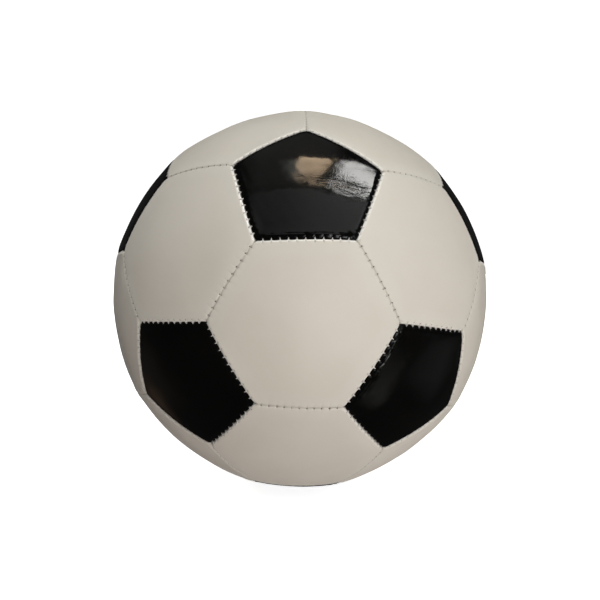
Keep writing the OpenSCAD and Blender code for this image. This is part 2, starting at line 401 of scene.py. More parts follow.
# Rings of a cover from its seam inwards: the angles of its rolled edge, then rows of (level, inset). A ring of
# level n keeps every 2**n-th sample.
ROLL_ANGLES = [90, 81, 73, 65.5, 58.5, 52, 46, 40.5, 35.5, 30.5, 26, 21.5, 17, 12.5, 8, 4, 0]
SHOULDER = [(0, 2.65), (0, 3.15), (1, 3.7), (1, 4.4), (2, 5.3), (2, 6.4), (2, 7.7), (2, 9.3),
            (3, 11.2), (3, 13.5)]
HEXAGON_FIELD = [(3, 16), (3, 19), (3, 22), (3, 25), (4, 28), (4, 31), (4, 34), (4, 36.8)]
PENTAGON_FIELD = [(3, 16), (3, 18.5), (3, 21), (4, 23.5), (4, 26), (4, 28.8)]
# Below the line where two covers meet, in rows of (level, inset, height): the hem, and the inside of the cover.
HEM = [(0, 0.0, -0.4), (1, 0.02, -0.9), (2, 0.04, -2.4), (3, 0.05, -3.2), (3, 0.05, -4.4), (3, 0.08, -5.6)]
INSIDE = [
    (3, 0.3, -5.85), (3, 0.85, -5.85), (3, 1.1, -5.6), (3, 1.15, -4.2), (3, 1.17, -2.6), (3, 1.35, -1.9),
    (3, 1.8, -1.45), (3, 2.6, -1.2), (3, 4.0, -1.12), (4, 8.0, -1.1), (4, 14.0, -1.1), (4, 20.0, -1.1)]
HEXAGON_INSIDE = [(4, 26.5, -1.1), (4, 32.5, -1.1), (4, 36.6, -1.1)]
PENTAGON_INSIDE = [(4, 25.0, -1.1), (4, 28.6, -1.1)]


def along_side(inset_end, inset):
    """The samples squeezed to reach a side's end at this inset. Near the seam the stitches stay in place."""
    fixed = STITCH_AT[-1] + 0.2
    spread = fixed * (1 + (inset_end / SAMPLES[0] * -1 - 1) * smooth_step(2.8, 7.5, inset))
    spread = min(spread, 0.96 * inset_end)
    return np.interp(SAMPLES, [-EDGE / 2, -fixed, fixed, EDGE / 2], [-inset_end, -spread, spread, inset_end])


def stitch_fields(v, seam, forward):
    """Nearest stitch of each place: distance, depth, hole shift, and 0 to 1 from a stitch to mid pitch."""
    order = np.arange(STITCHES) if forward else np.arange(STITCHES)[::-1]
    shift = STITCH_SHIFT[seam] * (1 if forward else -1)
    places = STITCH_AT + shift[order]
    nearest = np.abs(v[:, None] - places[None, :]).argmin(1)
    away = v - places[nearest]
    depth = STITCH_DEPTH[seam][order][nearest]
    hole = HOLE_SHIFT[seam][order][nearest]
    arc = np.clip(np.abs(away) / (PITCH / 2), 0, 1)
    return away, depth, hole, 1 - (1 - arc)**4


class CoverRing:
    """One ring of a cover: its vertices, side after side, each starting at a corner."""

    def __init__(self, panel, style, level, inset, z, share):
        step = 2**level
        points, pit_shades, rim_highlights = [], [], []
        fade = math.exp(-(inset / 1.25)**4)
        on_roll = z < 0 and level == 0
        white_z = z * WHITE_SEAM_DROP if z >= -style.drop else z + style.drop * (1 - WHITE_SEAM_DROP)
        near = math.exp(-(inset / 2.6)**3)
        buried = share if z < -style.drop - 0.01 else 1
        for k in range(panel.count):
            side = panel.sides[k]
            mixed = side.kind == "mixed"
            end = abs(panel.corner_point(k, inset, z) @ side.along)
            v = along_side(end, inset)[::step][1:]
            away, depth, hole, arc = stitch_fields(v, side.seam, side.forward)
            pull = PULL[side.seam] if mixed else 1
            # Share of painted shade in the needle holes: less beside a pentagon where the painted highlight is
            # stronger.
            hole_shade = np.clip(1.3 - RIM_LIGHT[side.seam], 0.15, 1) if mixed else 1
            hole_at = hole_insets(side.seam)[style is WHITE] + hole if mixed else WHITE_SEAM_HOLE + 0.4 * hole
            hole_r = (0.27 if style is BLACK else 0.34) if mixed else 0.27
            to_corner = end - np.abs(v)
            corner_pull = np.exp(-(to_corner / 0.9)**2)
            inner = smooth_step(0.3, 2.0, to_corner)
            lean = np.zeros(len(v))
            if mixed:
                lean = NOTCH * np.exp(-(away / NOTCH_WIDTH)**2) - BULGE * arc
                lean = lean * (pull if style is BLACK else -pull)
            x = inset + lean * inner * share + 0.25 * corner_pull * share
            pit = np.exp(-(((away**2 + (inset - hole_at)**2) / hole_r**2)**1.5))
            trough = np.exp(-(away / 0.34)**2) * smooth_step(0.3, -0.1, inset - hole_at)
            wide = np.exp(-(away / 0.95)**2) * math.exp(-((inset - 1.4) / 1.5)**2)
            lift = pull * style.pillow * arc * near * smooth_step(0.2, 2.5, to_corner)
            if style is BLACK:
                bead = math.exp(-((inset - 2.1) / 0.42)**2) + 0.6 * math.exp(-((inset - 3.4) / 0.42)**2)
                flow = waves(panel.side_points(k, inset, v, z), 6, 10, 8)
                lift = lift + 0.09 * RIDGE[side.seam] * bead * (1 + 0.6 * flow) * smooth_step(2, 6, to_corner)
            sink = depth * (0.24 * trough + 0.55 * pit + 0.05 * pull * wide) + 0.4 * corner_pull * fade
            height = np.full(len(v), z)
            if not mixed:
                height += (white_z - z) * smooth_step(0, 5, to_corner) * on_roll
                valley = VALLEY * math.exp(-(inset / VALLEY_WIDTH)**2)
                height -= valley * smooth_step(0, 6, to_corner) * buried
            points.append(panel.corner_point(k, inset + 0.25 * share, z - 0.4 * fade * buried)[None, :])
            points.append(panel.side_points(k, x, v, height + (lift - sink) * buried))
            # Weights of the painted shade in the needle holes.
            pit_shades += [np.zeros(1), pit * depth * hole_shade]
            # Painted highlight along the rolled white edge beside a pentagon, as strong as the seam's setting, with
            # a little at each corner.
            rim = smooth_step(1.6, 0.3, inset)
            rim_highlights += [np.full(1, 0.3 * rim), np.full(len(v), rim * RIM_LIGHT[side.seam] if mixed else 0.0)]
        self.points = np.concatenate(points)
        self.pit_shades = np.concatenate(pit_shades)
        self.rim_highlights = np.concatenate(rim_highlights)


# Creases in two covers: a point on the cover, their direction, how far they reach along and across it, and depth.
CREASES = {
    "pentagon_cover_01": ((20, -88, 63), (1, 0, -0.06), 13.5, 3.3, 0.12),
    "hexagon_cover_01": ((20, -107, 10), (0.8, 0, 0.6), 12, 9, 0.02)}
FOLD_SEED, FOLD_WAVES = 77, 14
CREASED_FIELD = [(1, 2.6 + 0.5 * n) for n in range(23)] + [(2, 14.2 + 0.6 * n) for n in range(38)]


def creased(name, panel, points):
    """How creased a cover is at its points, and the height that the folds there add."""
    if name not in CREASES:
        return np.zeros(len(points)), np.zeros(len(points))
    middle, way, far, near, depth = CREASES[name]
    along = unit(np.array(way) - (np.array(way) @ panel.axis) * panel.axis)
    across = np.cross(panel.axis, along)
    off = points - np.array(middle)
    mask = np.exp(-((off @ along) / far)**2 - ((off @ across) / near)**2)
    wide = np.exp(-((off @ along) / (1.2 * far))**2 - ((off @ across - 1.2 * near) / (3 * near))**2)
    rng = np.random.default_rng(FOLD_SEED)
    place = off @ across + 0.3 * waves(points, 8, 7, FOLD_SEED + 1)
    total = np.zeros(len(points))
    for _ in range(FOLD_WAVES):
        length, slant = rng.uniform(1.4, 3.2), rng.normal() * 0.16
        total += np.sin(2 * math.pi / length * (place + slant * (off @ along)) + rng.uniform(0, 2 * math.pi))
    folds = -np.abs(total * math.sqrt(2 / FOLD_WAVES))
    return mask + 0.35 * wide, depth * (mask + 0.16 * wide) * folds


# The valve hole: rings round it as (level, share of circle, inset, radius), and its rim as (radius, height).
VALVE_CIRCLES = [
    (3, 0.3, 20, 19.5), (3, 0.6, 23, 16.2), (3, 0.85, 26, 13.2)] + [
    (3, 1, 28, radius) for radius in (10.8, 8.8, 7.3, 6.2, 5.5)]
VALVE_RIM = [
    (5.1, -0.02), (4.85, -0.1), (4.66, -0.24), (4.55, -0.42), (4.5, -0.65), (4.5, -1.0), (4.58, -1.1)]
VALVE_INSIDE = [(3, 5.6), (4, 7.6), (4, 11.0)]


def circle_ring(panel, level, radius, z, share=1.0, inset=28):
    """Ring on the dome that is part circle, part the panel's own outline at an inset."""
    base = CoverRing(panel, WHITE, level, inset, z, 0.0).points
    across, up = base @ panel.first, base @ panel.second
    rho = np.hypot(across, up) * (1 - share) + radius * share
    height = np.full(len(base), z)
    return panel.polar(np.arcsin(rho / (panel.dome + height)), np.arctan2(up, across), height)


def cover_mesh(panel, style, field, inside, name, material, valve=False):
    rings, insets, pit_shades, rim_highlights, masks = [], [], [], [], []

    def keep(points, inset, pit=None, rim=None, mask=None):
        none = np.zeros(len(points))
        rings.append(points)
        insets.append(none + inset)
        pit_shades.append(none if pit is None else pit)
        rim_highlights.append(none if rim is None else rim)
        masks.append(none if mask is None else mask)

    def wavy(p, inset):
        out = p - panel.centre
        out /= np.linalg.norm(out, axis=1)[:, None]
        calm = smooth_step(0.8, 6.0, inset)
        dz = 0.11 * calm * waves(p, 34, 9, 5) + 0.022 * calm * waves(p, 12, 14, 6)
        dz += 0.008 * smooth_step(0.5, 3.0, inset) * waves(p, 5.5, 18, 7)
        mask, folds = creased(name, panel, p)
        return p + out * (dz + folds * calm)[:, None], mask * calm

    def add(level, inset, z, share=0.0, visible=True):
        r = CoverRing(panel, style, level, inset, z, share)
        if visible:
            p, mask = wavy(r.points, inset)
            keep(p, inset, r.pit_shades, r.rim_highlights, mask)
        else:
            keep(r.points, -1, r.pit_shades, r.rim_highlights)

    if valve:
        for radius, z in reversed(VALVE_RIM):
            p = circle_ring(panel, 3, radius, z)
            keep(wavy(p, 9)[0], 9 if z > -0.9 else -1)
        for level, share, inset, radius in reversed(VALVE_CIRCLES):
            p = circle_ring(panel, level, radius, 0.0, share, inset)
            keep(wavy(p, 9)[0], 9)
        field = [f for f in field if f[1] < 18]
        inside = [f for f in inside if f[1] < 24]
    fine = [row for row in CREASED_FIELD if style.roll + 0.3 < row[1] < field[-1][1]]
    shoulder = [row for row in SHOULDER if row[1] > style.roll + 0.3]
    for level, inset in reversed(fine if name in CREASES else shoulder + field):
        add(level, inset, 0.0)
    for angle in reversed(ROLL_ANGLES):
        a = math.radians(angle)
        inset = style.roll * (1 - math.sin(a))
        add(0, inset, -style.drop * (1 - math.cos(a)), math.exp(-(inset / 0.8)**1.5))
    for level, inset, z in HEM:
        add(level, inset, z - style.drop * (level < 2), 0.5 if level == 0 else 0.0, False)
    for level, inset, z in INSIDE + inside:
        add(level, inset, z, 0.0, False)
    if valve:
        for level, radius in reversed(VALVE_INSIDE):
            keep(circle_ring(panel, level, radius, -COVER_T), -1)
    loops, start = [], 0
    for p in rings:
        loops.append(np.arange(start, start + len(p)))
        start += len(p)
    if valve:
        quads, triangles = loft(loops + [loops[0]])
    else:
        middle, mask = wavy((panel.centre + panel.axis * panel.dome)[None, :], 30)
        keep(middle, 30, mask=mask)
        keep((panel.centre + panel.axis * (panel.dome - COVER_T))[None, :], -1)
        quads, triangles = loft(loops, start, start + 1)
    return make_mesh(name, settled(np.concatenate(rings)), quads, triangles, material, {
        "inset": np.concatenate(insets), "pit": np.concatenate(pit_shades), "rim": np.concatenate(rim_highlights),
        "crease": np.concatenate(masks)})


# ---- materials

class Nodes:
    """Short ways to make a material from nodes."""

    def __init__(self, name):
        self.material = bpy.data.materials.new(name)
        self.material.use_nodes = True
        self.tree = self.material.node_tree
        self.tree.nodes.clear()
        self.place = self.add("TexCoord").outputs["Object"]

    def add(self, kind, inputs=None, **settings):
        """New node with its settings, then its inputs linked or set."""
        n = self.tree.nodes.new("ShaderNode" + kind)
        for key, value in settings.items():
            setattr(n, key, value)
        for key, value in (inputs or {}).items():
            self.link(value, n.inputs[key])
        return n

    def link(self, source, target):
        if isinstance(source, (int, float)):
            target.default_value = source
        elif isinstance(source, tuple):
            target.default_value = (*source, 1.0)[:len(target.default_value)]
        else:
            self.tree.links.new(source, target)

    def noise(self, scale, detail=2.0, rough=0.5, distortion=0.0, output=0):
        return self.add("TexNoise", {"Scale": scale, "Detail": detail, "Roughness": rough,
                                     "Distortion": distortion, "Vector": self.place}).outputs[output]

    def cells(self, scale, **smooth):
        feature = "SMOOTH_F1" if smooth else "F1"
        return self.add("TexVoronoi", {"Scale": scale, "Vector": self.place, **smooth}, feature=feature).outputs[0]

    def range(self, value, low, high, to_low=0.0, to_high=1.0, kind="LINEAR"):
        return self.add("MapRange", {"Value": value, "From Min": low, "From Max": high, "To Min": to_low,
                                     "To Max": to_high}, interpolation_type=kind).outputs[0]

    def math(self, operation, a, b=0.0):
        return self.add("Math", {0: a, 1: b}, operation=operation).outputs[0]

    def mix(self, share, a, b):
        return self.add("Mix", {"Factor": share, 6: a, 7: b}, data_type="RGBA").outputs[2]

    def stored(self, name):
        return self.add("Attribute", attribute_name=name).outputs["Fac"]

    def bump(self, height, distance, strength=1.0, normal=None):
        inputs = {"Distance": distance, "Strength": strength, "Height": height}
        return self.add("Bump", inputs if normal is None else {**inputs, "Normal": normal}).outputs[0]

    def finish(self, shader):
        self.add("OutputMaterial", {0: shader.outputs[0]})
        return self.material

    def done(self, colour, roughness, normal=None, **fixed):
        inputs = {"Base Color": colour, "Roughness": roughness}
        inputs.update({key.replace("_", " "): value for key, value in fixed.items()})
        return self.finish(self.add("BsdfPrincipled", inputs if normal is None else {**inputs, "Normal": normal}))


def creases(n, normal, scale, depth, strength):
    """Fine crackle between the folds where the stored mask says, on top of a normal."""
    crackle = n.noise(scale, 2, 0.5, 0.4)
    ridges = n.math("ABSOLUTE", n.math("SUBTRACT", crackle, 0.5))
    return n.bump(n.math("MULTIPLY", ridges, n.stored("crease")), depth, strength, normal)


def black_cover():
    n = Nodes("black_pvc")
    inset = n.stored("inset")
    patches = n.noise(26, 3, 0.55)
    colour = n.mix(n.range(patches, 0.35, 0.7), (0.0012, 0.0012, 0.0012), (0.0024, 0.0023, 0.0020))
    worn = n.math("MULTIPLY", n.range(inset, 2.2, 0.6), n.range(n.noise(420, 3, 0.6), 0.55, 0.8))
    colour = n.mix(n.math("MULTIPLY", worn, 0.1), colour, (0.03, 0.028, 0.026))
    rough = n.range(n.noise(90, 4, 0.6), 0.3, 0.72, 0.07, 0.14)
    rough = n.math("ADD", rough, n.range(inset, 2.0, 0.8, 0.0, 0.1))
    normal = n.bump(n.cells(800, Smoothness=0.8), 0.00003, 0.1)
    normal = n.bump(n.noise(260, 3, 0.6), 0.00006, 0.3, normal)
    return n.done(colour, rough, creases(n, normal, 900, 0.00035, 0.6))


def white_cover():
    n = Nodes("white_pvc")
    inset = n.stored("inset")
    rim = n.stored("rim")
    patches = n.noise(20, 3, 0.55)
    colour = n.mix(n.range(patches, 0.35, 0.68), (0.625, 0.596, 0.520), (0.655, 0.630, 0.560))
    # Painted highlight: a little lighter towards the seams.
    colour = n.mix(n.range(inset, 9.0, 2.0, 0.0, 0.4), colour, (0.66, 0.655, 0.585))
    # A little darker in patches right at the seam.
    seam_dark = n.math("MULTIPLY", n.range(inset, 0.9, 0.1), n.range(n.noise(300, 3, 0.6), 0.2, 0.8, 0.4, 1.0))
    colour = n.mix(n.math("MULTIPLY", seam_dark, 0.3), colour, (0.36, 0.33, 0.28))
    # Painted highlight along the rolled edge beside the pentagons.
    colour = n.mix(n.math("MINIMUM", rim, 1.0), colour, (0.86, 0.86, 0.80))
    # Painted shade in the needle holes.
    colour = n.mix(n.range(n.stored("pit"), 0.1, 0.6), colour, (0.03, 0.025, 0.02))
    rough = n.range(n.noise(120, 4, 0.6), 0.3, 0.7, 0.38, 0.5)
    rough = n.math("SUBTRACT", rough, n.math("MULTIPLY", rim, 0.2))
    normal = n.bump(n.cells(900, Smoothness=0.7), 0.00005, 0.25)
    return n.done(colour, rough, creases(n, normal, 500, 0.0003, 0.5))


def thread_material():
    n = Nodes("polyester_thread")
    colour = n.mix(n.range(n.noise(900, 2), 0.3, 0.7), (0.60, 0.585, 0.54), (0.72, 0.70, 0.66))
    normal = n.bump(n.noise(9000, 2, 0.6), 0.00004, 0.5)
    return n.done(colour, n.range(n.noise(2500, 2), 0.3, 0.7, 0.62, 0.8), normal, Sheen_Weight=0.3)


def foam_material():
    n = Nodes("foam_backing")
    holes = n.cells(1400)
    colour = n.mix(n.range(holes, 0.15, 0.6), (0.52, 0.49, 0.40), (0.80, 0.77, 0.66))
    normal = n.bump(holes, 0.0002, 0.8)
    return n.done(colour, 0.92, normal)


def lining_material():
    n = Nodes("woven_lining")
    wave = {"Scale": 340, "Distortion": 0.8, "Detail Scale": 3.0, "Vector": n.place}
    x, y, z = (n.add("TexWave", wave, bands_direction=axis).outputs["Fac"] for axis in "XYZ")
    weave = n.math("MAXIMUM", n.math("MULTIPLY", x, y), n.math("MULTIPLY", y, z))
    colour = n.mix(weave, (0.50, 0.50, 0.53), (0.80, 0.80, 0.83))
    return n.done(colour, n.range(n.noise(1500, 2), 0.3, 0.7, 0.78, 0.9), n.bump(weave, 0.00025, 0.7))


def rubber(name, dark, light, rough_low, rough_high, grain):
    n = Nodes(name)
    colour = n.mix(n.range(n.noise(60, 4, 0.6), 0.3, 0.7), dark, light)
    normal = n.bump(n.noise(grain, 3, 0.6), 0.00008, 0.5)
    return n.done(colour, n.range(n.noise(240, 3), 0.3, 0.7, rough_low, rough_high), normal)


BLACK_PVC = black_cover()
WHITE_PVC = white_cover()
THREAD = thread_material()
FOAM = foam_material()
LINING = lining_material()
BLADDER_RUBBER = rubber("bladder_rubber", (0.016, 0.016, 0.017), (0.030, 0.029, 0.028), 0.45, 0.62, 1500)
VALVE_RUBBER = rubber("valve_rubber", (0.020, 0.020, 0.021), (0.038, 0.037, 0.036), 0.42, 0.58, 2200)
CORE_RUBBER = rubber("core_rubber", (0.050, 0.050, 0.052), (0.085, 0.083, 0.080), 0.40, 0.55, 2600)


def belongs(obj, node, body="ball"):
    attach(obj, body)
    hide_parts(node)
    return obj


for panel in PENTAGONS:
    name = f"pentagon_cover_{panel.name}"
    made = cover_mesh(panel, BLACK, PENTAGON_FIELD, PENTAGON_INSIDE, name, BLACK_PVC)
    belongs(made, f"pentagon_panel_{panel.name}")
for panel in HEXAGONS:
    name = f"hexagon_cover_{panel.name}"
    made = cover_mesh(panel, WHITE, HEXAGON_FIELD, HEXAGON_INSIDE, name, WHITE_PVC, panel is HEXAGONS[-1])
    belongs(made, f"hexagon_panel_{panel.name}")

# ---- stitching

SEAM_SIDES = {}
for panel in PENTAGONS + HEXAGONS:
    for k, side in enumerate(panel.sides):
        SEAM_SIDES.setdefault(side.seam, []).append((panel, k))


def seam_point(seam, across, v, z):
    """Point near a seam: across is positive on the side of its first panel, v runs from its first corner."""
    panel, k = SEAM_SIDES[seam][0 if across >= 0 else 1]
    own = v if panel.sides[k].forward else -v
    return panel.side_points(k, np.array([abs(across)]), np.array([own]), np.array([z]))[0]


def tube(path, radii, around, twist_length, lobe):
    """Points and faces of a twisted two-ply thread along a path, with rounded ends."""
    path = np.asarray(path)
    ways = np.gradient(path, axis=0)
    ways /= np.linalg.norm(ways, axis=1)[:, None]
    side = unit(np.cross(ways[0], [0.31, 0.52, 0.79]))
    length = np.concatenate([[0], np.cumsum(np.linalg.norm(np.diff(path, axis=0), axis=1))])
    turn = np.arange(around) * (2 * math.pi / around)
    rings = []
    for p, way, r, at in zip(path, ways, radii, length):
        side = unit(side - (side @ way) * way)
        other = np.cross(way, side)
        reach = r * (1 - lobe + lobe * np.abs(np.cos(turn - at * math.pi / twist_length)))
        rings.append(p + np.outer(reach * np.cos(turn), side) + np.outer(reach * np.sin(turn), other))
    loops = [np.arange(around) + i * around for i in range(len(rings))]
    points = np.concatenate(rings + [path[:1], path[-1:]])
    total = around * len(rings)
    return points, *loft(loops, total, total + 1)


def crossing_path(seam, n):
    """Path of one stitch from inside one cover, over the seam and into the other."""
    panel, k = SEAM_SIDES[seam][0]
    v = STITCH_AT[n] + STITCH_SHIFT[seam][n]
    shift = HOLE_SHIFT[seam][n]
    if panel.sides[k].kind == "mixed":
        h, w = (inset + shift for inset in hole_insets(seam))
        rows = [
            (1.7, -2.2), (1.4, -2.1), (h + 0.03, -1.6), (h + 0.02, -1.0), (0.96 * h, -0.66),
            (0.84 * h, -0.53), (0.66 * h, -0.47), (0.45 * h, -0.43), (0.2 * h, -0.41), (-0.05, -0.39),
            (-0.28 * w, -0.34), (-0.55 * w, -0.3), (-0.83 * w, -0.3), (-0.96 * w, -0.42),
            (-w - 0.02, -0.85), (-w - 0.03, -1.5), (-1.45, -2.1), (-1.75, -2.2)]
        middle = [0.15, 0.14, 0.15, 0.18, 0.21, 0.25, 0.27, 0.27, 0.25, 0.2, 0.18, 0.18]
        sizes = [0.26] * 3 + middle + [0.26] * 3
    else:
        h = WHITE_SEAM_HOLE + 0.4 * shift
        rows = [
            (1.7, -2.2), (1.3, -2.1), (h + 0.15, -1.8), (h + 0.02, -1.4), (h - 0.1, -1.1), (0.12, -0.98),
            (-0.12, -0.98), (0.1 - h, -1.1), (-h - 0.02, -1.4), (-h - 0.15, -1.8), (-1.3, -2.1), (-1.7, -2.2)]
        sizes = [0.25, 0.25, 0.22, 0.2, 0.2, 0.2, 0.2, 0.2, 0.2, 0.22, 0.25, 0.25]
    return [seam_point(seam, x, v, z) for x, z in rows], sizes


def stitching(name, seams):
    points, quads, triangles, start = [], [], [], 0

    def add(path, sizes, around, twist):
        nonlocal start
        p, q, t = tube(path, sizes, around, twist, 0.24)
        points.append(p)
        quads.append(q + start)
        triangles.append(t + start)
        start += len(p)

    reach = STITCH_AT[-1] + THREAD_D
    for seam in seams:
        for n in range(STITCHES):
            add(*crossing_path(seam, n), 8, 0.9)
        for side in (1, -1):
            run = [seam_point(seam, side * 1.75, v, -2.2 + 0.05 * math.sin(v * 2.1 + seam))
                   for v in np.linspace(-reach, reach, 40)]
            add(run, [THREAD_D / 2] * len(run), 8, 1.2)
    points, quads, triangles = (np.concatenate(rows) for rows in (points, quads, triangles))
    return make_mesh(name, settled(points), quads, triangles, THREAD)


for panel in PENTAGONS:
    made = stitching(f"pentagon_stitching_{panel.name}", [side.seam for side in panel.sides])
    belongs(made, f"pentagon_seam_thread_{panel.name}")
white_seams = sorted({side.seam for panel in HEXAGONS for side in panel.sides if side.kind == "white"})
belongs(stitching("hexagon_stitching", white_seams), "hexagon_seam_threads")

# ---- foam backings and linings

def slab(panel, name, material, rows, middle, around, hole=None):
    """Closed layer behind a cover from rows of (inset, height), with a pole or a hole in its middle."""
    rings = []
    for inset, z in rows:
        points = []
        for k, side in enumerate(panel.sides):
            start = panel.corner_point(k, inset, z)
            end = abs(start @ side.along)
            v = end * (2 * np.arange(1, around) / around - 1)
            points += [start[None, :], panel.side_points(k, np.full(len(v), inset), v, np.full(len(v), z))]
        rings.append(np.concatenate(points))
    outline = rings[len(rings) // 2]
    edge = np.linalg.norm(outline[0] - outline[around])
    if hole:
        flat = rings[0]
        azimuth = np.arctan2(flat @ panel.second, flat @ panel.first)
        for radius, z in hole:
            height = np.full(len(flat), z)
            rings.append(panel.polar(np.arcsin(radius / (panel.dome + height)), azimuth, height))
    loops = [np.arange(len(p)) + i * len(rings[0]) for i, p in enumerate(rings)]
    if hole:
        quads, triangles = loft(loops + [loops[0]])
    else:
        rings += [(panel.centre + panel.axis * (panel.dome + z))[None, :] for z in middle]
        quads, triangles = loft(loops, len(loops) * len(rings[0]), len(loops) * len(rings[0]) + 1)
    points = np.concatenate(rings)
    out = points - panel.centre
    out /= np.linalg.norm(out, axis=1)[:, None]
    points = points + out * (0.03 * waves(points, 7, 8, 11))[:, None]
    return make_mesh(name, settled(points), quads, triangles, material), edge


FOAM_TOP = -(COVER_T + LAYER_GAP)
FOAM_END = FOAM_TOP - FOAM_T
LINING_TOP = FOAM_END - LAYER_GAP
LINING_END = LINING_TOP - LINING_T
FOAM_ROWS = [(inset, FOAM_TOP - drop) for inset, drop in (
    (18, 0), (11, 0), (6, 0), (3.6, 0.04), (2.8, 0.2), (2.45, 0.55), (2.35, 1.0), (2.45, 1.5))]
FOAM_ROWS += [(inset, FOAM_END + rise) for inset, rise in ((2.8, 0.2), (3.5, 0.05), (6, 0), (12, 0), (19, 0))]
LINING_ROWS = [(inset, LINING_TOP - drop) for inset, drop in (
    (18, 0), (12, 0), (7, 0), (4, 0), (2.7, 0.02), (2.5, 0.15), (2.45, 0.3))]
LINING_ROWS += [(inset, LINING_END + rise) for inset, rise in (
    (2.5, 0.15), (2.7, 0.02), (4, 0), (8, 0), (13, 0), (19, 0))]
VALVE_CLEAR = 5.0


def hole_rows(top, end):
    return [(VALVE_CLEAR + 1, end), (VALVE_CLEAR + 0.1, end + 0.06), (VALVE_CLEAR, (top + end) / 2),
            (VALVE_CLEAR + 0.1, top - 0.06), (VALVE_CLEAR + 1, top)]


for kind, panels in (("pentagon", PENTAGONS), ("hexagon", HEXAGONS)):
    for panel in panels:
        pierced = panel is HEXAGONS[-1]
        ends, name = (FOAM_TOP, FOAM_END), f"{kind}_foam_pad_{panel.name}"
        pad, _ = slab(panel, name, FOAM, FOAM_ROWS, ends, 12, hole_rows(*ends) if pierced else None)
        belongs(pad, f"{kind}_foam_backings")
        ends, name = (LINING_TOP, LINING_END), f"{kind}_lining_{panel.name}"
        cloth, edge = slab(panel, name, LINING, LINING_ROWS, ends, 12, hole_rows(*ends) if pierced else None)
        belongs(cloth, f"{kind}_linings")
        edge *= MM

# ---- bladder and valve

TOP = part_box("valve_core")[1].y / MM
CORE_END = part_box("valve_core")[0].y / MM
TUBE_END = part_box("valve_body")[0].y / MM
FLANGE_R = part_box("valve_body")[1].x / MM
BLADDER_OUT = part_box("bladder")[1].x / MM
BLADDER_T = 0.6
PATCH_T = 0.7
SEAT_END = TOP - 16


def lathe(name, profile, steps, material, change=None):
    """Solid turned round the valve's axis from a profile of (radius, height). One that starts and ends on the
    axis is closed there, and any other is a closed loop. change(radius, height, angle) may return new radii."""
    angle = np.arange(steps) * (2 * math.pi / steps)
    poles = [p for p in (profile[0], profile[-1]) if p[0] == 0]
    rows = profile[1:-1] if poles else profile
    rings = []
    for r, y in rows:
        radii = np.full(steps, float(r)) if change is None else change(r, y, angle)
        rings.append(np.stack([radii * np.cos(angle), np.full(steps, float(y)), radii * np.sin(angle)], 1))
    loops = [np.arange(steps) + i * steps for i in range(len(rings))]
    total = steps * len(rings)
    if poles:
        quads, triangles = loft(loops, total, total + 1)
        rings += [np.array([[0.0, y, 0.0]]) for _, y in poles]
    else:
        quads, triangles = loft(loops + [loops[0]])
    return make_mesh(name, np.concatenate(rings), quads, triangles, material)


def on_ball(radius, r):
    """Height above the ball's centre of a sphere at a distance from the valve's axis."""
    return math.sqrt(radius**2 - r**2)


def bladder_profile(radius, hole, count):
    start = math.asin(hole / radius)
    return [(radius * math.sin(a), radius * math.cos(a)) for a in np.linspace(start, math.pi - 0.004, count)]


def moulded(r, y, angle):
    """Low ribs from the mould, fading towards the poles, on the bladder's outside."""
    if math.hypot(r, y) < BLADDER_OUT - 0.3:
        return np.full(len(angle), float(r))
    rib = np.clip(np.cos(6 * angle), 0, 1)**40
    return r * (1 - 0.0009 + 0.0009 * rib * (r / BLADDER_OUT)**2)


BLADDER_HOLE = 6.7
outer = bladder_profile(BLADDER_OUT, BLADDER_HOLE, 90)
inner = bladder_profile(BLADDER_OUT - BLADDER_T, BLADDER_HOLE, 60)
made = lathe("bladder_skin", outer + inner[::-1], 144, BLADDER_RUBBER, moulded)
belongs(made, "bladder")

patch_top = BLADDER_OUT - BLADDER_T - LAYER_GAP
patch = [(r, on_ball(patch_top, r)) for r in (5.5, 8, 11, 14)] + [(14.7, on_ball(patch_top, 14.7) - 0.08)]
patch += [(15, on_ball(patch_top, 15) - 0.4)]
patch += [(r, on_ball(patch_top - PATCH_T, r)) for r in (14.6, 11, 8, 5.6)]
patch += [(5.35, on_ball(patch_top - PATCH_T, 5.35) + 0.12), (5.35, on_ball(patch_top, 5.35) - 0.12)]
belongs(lathe("valve_patch", patch, 96, BLADDER_RUBBER), "bladder_patch")

flange = BLADDER_OUT + LAYER_GAP


def below_top(*rows):
    """Profile points from (radius, depth below the outer end of the valve)."""
    return [(r, TOP - depth) for r, depth in rows]


body = [(2.0, TUBE_END + 0.2), (2.0, SEAT_END - 0.35), (2.15, SEAT_END - 0.1), (2.5, SEAT_END)]
body += below_top(
    (3.23, 1.12), (3.3, 1.06), (3.6, 1.06), (3.65, 1.0), (3.65, 0.3), (3.7, 0.12), (3.82, 0.02), (4.0, 0),
    (4.2, 0.02), (4.33, 0.1), (4.4, 0.28))
body += [(4.4, flange + 1.6), (4.45, flange + 1.15), (4.7, flange + 0.8)]
body += [(r, on_ball(flange + PATCH_T, r)) for r in (5.3, 7, 9, 11, 13, 14.4)]
body += [(14.85, on_ball(flange + PATCH_T, 14.85) - 0.12), (FLANGE_R, on_ball(flange, FLANGE_R) + 0.3)]
body += [(14.9, on_ball(flange, 14.9) + 0.05)] + [(r, on_ball(flange, r)) for r in (14.3, 12, 9, 6.5, 5.5)]
body += [(5.2, flange - 1.0), (5.2, 98.0), (5.2, TUBE_END + 0.5), (5.05, TUBE_END + 0.12), (4.7, TUBE_END)]
body += [(2.3, TUBE_END)]
belongs(lathe("valve_stem", body[::-1], 96, VALVE_RUBBER), "valve_body")


def core_radius(y):
    return 2.5 + 0.7 * (y - CORE_END) / (TOP - CORE_END)


